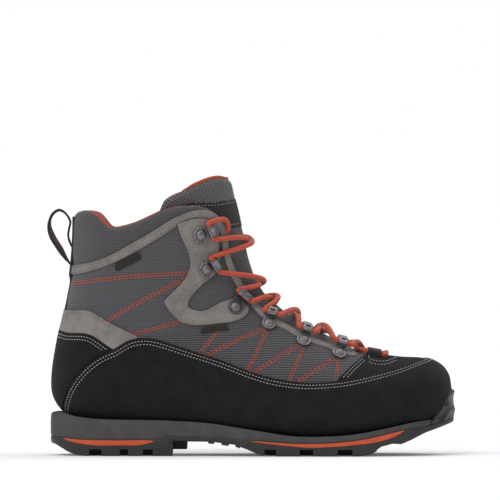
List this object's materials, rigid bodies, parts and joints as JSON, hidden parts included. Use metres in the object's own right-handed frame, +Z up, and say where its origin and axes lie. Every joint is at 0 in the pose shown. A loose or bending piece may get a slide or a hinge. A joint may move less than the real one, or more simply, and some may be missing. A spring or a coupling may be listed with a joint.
{
  "type": "hiking boot",
  "caption": "Mid-cut laced hiking boot with layered fabric and suede upper, hooks, padded tongue, removable insole and lugged sole.",
  "frame": {"origin": "on the ground, under the middle of the boot's overall box", "axes": "+X towards the toe, +Y towards the inner side of the foot, +Z up"},
  "size_m": [0.3066, 0.1103, 0.2105],
  "materials": {
    "rubber_dark": "matte",
    "rubber_gloss": "gloss",
    "midsole_foam": "fine grain",
    "stripe_orange": "matte",
    "spring_steel": "satin",
    "board": "matte",
    "insole_felt": "matte",
    "membrane": "matte",
    "lining_orange": "soft",
    "stiffener": "matte",
    "padding": "soft",
    "mesh_grey": "woven",
    "mesh_fine": "woven",
    "suede_black": "suede",
    "nubuck_grey": "nubuck",
    "mesh_tongue": "woven",
    "label_black": "woven",
    "webbing_black": "woven",
    "hook_steel": "gunmetal",
    "hook_dark": "satin",
    "rivet_steel": "satin",
    "lace_cord": "woven",
    "aglet_black": "gloss"
  },
  "bodies": {
    "boot": {"outsole": "rubber_dark", "toe_bumper": "rubber_gloss", "midsole": "midsole_foam", "heel_stripe": "stripe_orange", "forefoot_stripe": "stripe_orange", "shank": "spring_steel", "lasting_board": "board", "membrane_bootie": "membrane", "lining": "lining_orange", "heel_counter": "stiffener", "toe_puff": "stiffener", "ankle_foam": "padding", "quarter_lateral": "mesh_grey", "quarter_medial": "mesh_grey", "collar_cover": "mesh_fine", "vamp": "suede_black", "mudguard": "suede_black", "heel_cover": "suede_black", "heel_patch": "nubuck_grey", "ankle_strap_lateral": "nubuck_grey", "ankle_strap_medial": "nubuck_grey", "collar_trim_lateral": "nubuck_grey", "collar_trim_medial": "nubuck_grey", "heel_tape": "webbing_black", "collar_tag": "label_black", "quarter_tag": "label_black", "speed_hooks": "hook_steel", "lock_hooks": "hook_dark", "lace_loops": "hook_steel", "rivets": "rivet_steel", "rivet_washers": "rivet_steel", "toe_webbing": "webbing_black", "lace": "lace_cord", "aglets": "aglet_black"},
    "tongue": {"tongue_cover": "mesh_tongue", "tongue_foam": "padding", "tongue_lining": "lining_orange", "tongue_label": "label_black"},
    "insole": {"insole": "insole_felt"},
    "pull_loop": {"pull_loop": "webbing_black"}
  },
  "joints": [
    {"name": "tongue_tilt", "type": "hinge", "parent": "boot", "child": "tongue", "pos_m": [0.092, 0, 0.07], "axis": [0, -1, 0], "range_deg": [0, 10]},
    {"name": "pull_loop_swing", "type": "hinge", "parent": "boot", "child": "pull_loop", "pos_m": [-0.14, 0, 0.165], "axis": [0, 0, 1], "range_deg": [-25, 25]},
    {"name": "insole_lift", "type": "hinge", "parent": "boot", "child": "insole", "pos_m": [0.128, 0, 0.031], "axis": [0, 1, 0], "range_deg": [0, 7]}
  ]
}
